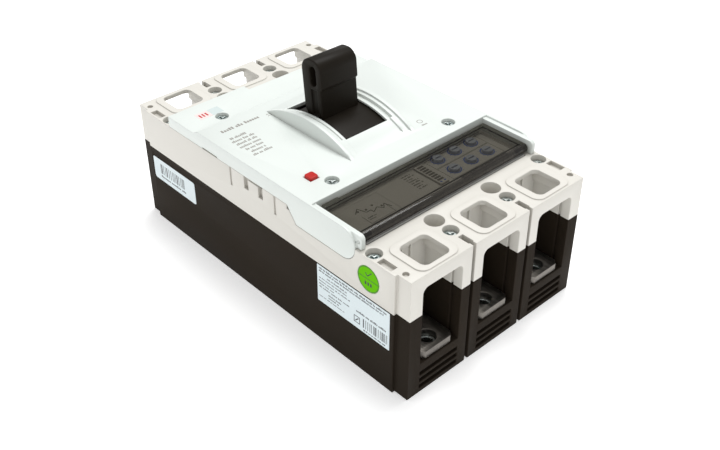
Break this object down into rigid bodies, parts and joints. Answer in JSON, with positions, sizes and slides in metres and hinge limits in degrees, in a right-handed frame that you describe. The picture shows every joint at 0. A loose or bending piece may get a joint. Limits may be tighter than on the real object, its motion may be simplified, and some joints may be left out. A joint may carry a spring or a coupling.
{
  "type": "molded case circuit breaker",
  "caption": "Molded case circuit breaker with a toggle handle in an arched bezel, an electronic trip unit under a hinged smoked cover, and open terminal pockets at both ends.",
  "frame": {"origin": "centre of the flat mounting face, on the surface it stands on", "axes": "+X across the poles, +Y towards the line terminals, +Z out of the front"},
  "size_m": [0.15, 0.257, 0.1391],
  "materials": {
    "base_plastic": "fine-textured dark brown glass-filled moulding",
    "cover_plastic": "light grey satin moulding",
    "plate_plastic": "white satin moulding",
    "handle_plastic": "black moulding with a faint sheen",
    "red_plastic": "bright red button",
    "face_plastic": "dark grey panel",
    "board": "green circuit board",
    "smoked_plastic": "clear smoked brown cover",
    "dial_plastic": "dark blue rotary switch",
    "zinc_steel": "zinc-plated screws",
    "spring_steel": "spring wire",
    "plate_steel": "plated mechanism steel",
    "tinned_copper": "dull tinned copper bar",
    "copper": "bare copper",
    "chute_steel": "coppered splitter plates",
    "transformer_resin": "cast resin",
    "contact_alloy": "silver alloy contact pads",
    "crossbar_resin": "thermoset moulding",
    "label_film": "printed label film",
    "green_film": "green sticker"
  },
  "bodies": {
    "case": {"arc_chute_1": "chute_steel", "arc_chute_2": "chute_steel", "arc_chute_3": "chute_steel", "back_plate": "base_plastic", "base": "base_plastic", "button_spring": "spring_steel", "code_label": "label_film", "cover_screws": "zinc_steel", "current_transformer_1": "transformer_resin", "current_transformer_2": "transformer_resin", "current_transformer_3": "transformer_resin", "fixed_contacts": "contact_alloy", "flexible_braids": "copper", "flux_actuator": "face_plastic", "front_cover": "plate_plastic", "front_cover_screws": "zinc_steel", "indicator_block": "face_plastic", "inspection_sticker": "green_film", "line_terminal_1": "tinned_copper", "line_terminal_2": "tinned_copper", "line_terminal_3": "tinned_copper", "load_terminal_1": "tinned_copper", "load_terminal_2": "tinned_copper", "load_terminal_3": "tinned_copper", "mechanism_frames": "plate_steel", "mechanism_pins": "plate_steel", "mid_cover": "cover_plastic", "rating_label": "label_film", "terminal_nuts": "zinc_steel", "trip_unit_board": "board", "trip_unit_face": "face_plastic", "trip_unit_housing": "face_plastic", "window_pins": "zinc_steel"},
    "handle": {"handle": "handle_plastic", "handle_shutter": "handle_plastic", "rear_shutter": "handle_plastic", "handle_yoke": "plate_steel", "main_springs": "spring_steel"},
    "crossbar": {"crossbar": "crossbar_resin", "link_pin": "plate_steel", "contact_arm_1": "copper", "contact_arm_2": "copper", "contact_arm_3": "copper", "moving_contacts": "contact_alloy"},
    "links": {"toggle_links": "plate_steel"},
    "cradle": {"cradle": "plate_steel"},
    "trip_button": {"trip_button": "red_plastic"},
    "trip_bar": {"trip_bar": "crossbar_resin"},
    "window": {"trip_window": "smoked_plastic"},
    "dial_1": {"dial_1": "dial_plastic"},
    "dial_2": {"dial_2": "dial_plastic"},
    "dial_3": {"dial_3": "dial_plastic"},
    "dial_4": {"dial_4": "dial_plastic"},
    "dial_5": {"dial_5": "dial_plastic"},
    "dial_6": {"dial_6": "dial_plastic"},
    "flux_plunger": {"flux_plunger": "plate_steel"}
  },
  "joints": [
    {"name": "handle_turn", "type": "hinge", "parent": "case", "child": "handle", "pos_m": [0, 0.008, 0.034], "axis": [-1, 0, 0], "range_deg": [-18, 11.5]},
    {"name": "crossbar_turn", "type": "hinge", "parent": "case", "child": "crossbar", "pos_m": [0, -0.004, 0.02], "axis": [-1, 0, 0], "range_deg": [-18, 11.5]},
    {"name": "link_turn", "type": "hinge", "parent": "crossbar", "child": "links", "pos_m": [0, 0.00429, 0.03444], "axis": [-1, 0, 0], "range_deg": [-11.5, 18]},
    {"name": "cradle_turn", "type": "hinge", "parent": "case", "child": "cradle", "pos_m": [0, 0.034, 0.062], "axis": [1, 0, 0], "range_deg": [0, 8]},
    {"name": "button_press", "type": "slide", "parent": "case", "child": "trip_button", "axis": [0, 0, -1], "range_m": [0, 0.0025], "stiffness_N_per_m": 400, "springref_m": -0.0005, "deforming": ["button_spring"]},
    {"name": "trip_bar_turn", "type": "hinge", "parent": "case", "child": "trip_bar", "pos_m": [0, -0.012, 0.064], "axis": [1, 0, 0], "range_deg": [0, 8.6]},
    {"name": "window_lift", "type": "hinge", "parent": "case", "child": "window", "pos_m": [0, -0.0855, 0.0883], "axis": [1, 0, 0], "range_deg": [0, 100]},
    {"name": "flux_push", "type": "slide", "parent": "case", "child": "flux_plunger", "axis": [0, 1, 0], "range_m": [0, 0.0035]},
    {"name": "dial_1_turn", "type": "hinge", "parent": "case", "child": "dial_1", "pos_m": [0.0228, -0.0563, 0.085], "axis": [0, 0, 1], "range_deg": [-135, 135]},
    {"name": "dial_2_turn", "type": "hinge", "parent": "case", "child": "dial_2", "pos_m": [0.0378, -0.0563, 0.085], "axis": [0, 0, 1], "range_deg": [-135, 135]},
    {"name": "dial_3_turn", "type": "hinge", "parent": "case", "child": "dial_3", "pos_m": [0.0528, -0.0563, 0.085], "axis": [0, 0, 1], "range_deg": [-135, 135]},
    {"name": "dial_4_turn", "type": "hinge", "parent": "case", "child": "dial_4", "pos_m": [0.0228, -0.0701, 0.085], "axis": [0, 0, 1], "range_deg": [-135, 135]},
    {"name": "dial_5_turn", "type": "hinge", "parent": "case", "child": "dial_5", "pos_m": [0.0378, -0.0701, 0.085], "axis": [0, 0, 1], "range_deg": [-135, 135]},
    {"name": "dial_6_turn", "type": "hinge", "parent": "case", "child": "dial_6", "pos_m": [0.0528, -0.0701, 0.085], "axis": [0, 0, 1], "range_deg": [-135, 135]}
  ],
  "couplings": [
    {"joint": "crossbar_turn", "follows": "handle_turn", "ratio": 1},
    {"joint": "link_turn", "follows": "handle_turn", "ratio": -1},
    {"joint": "trip_bar_turn", "follows": "button_press", "rad_per_m": 60}
  ]
}
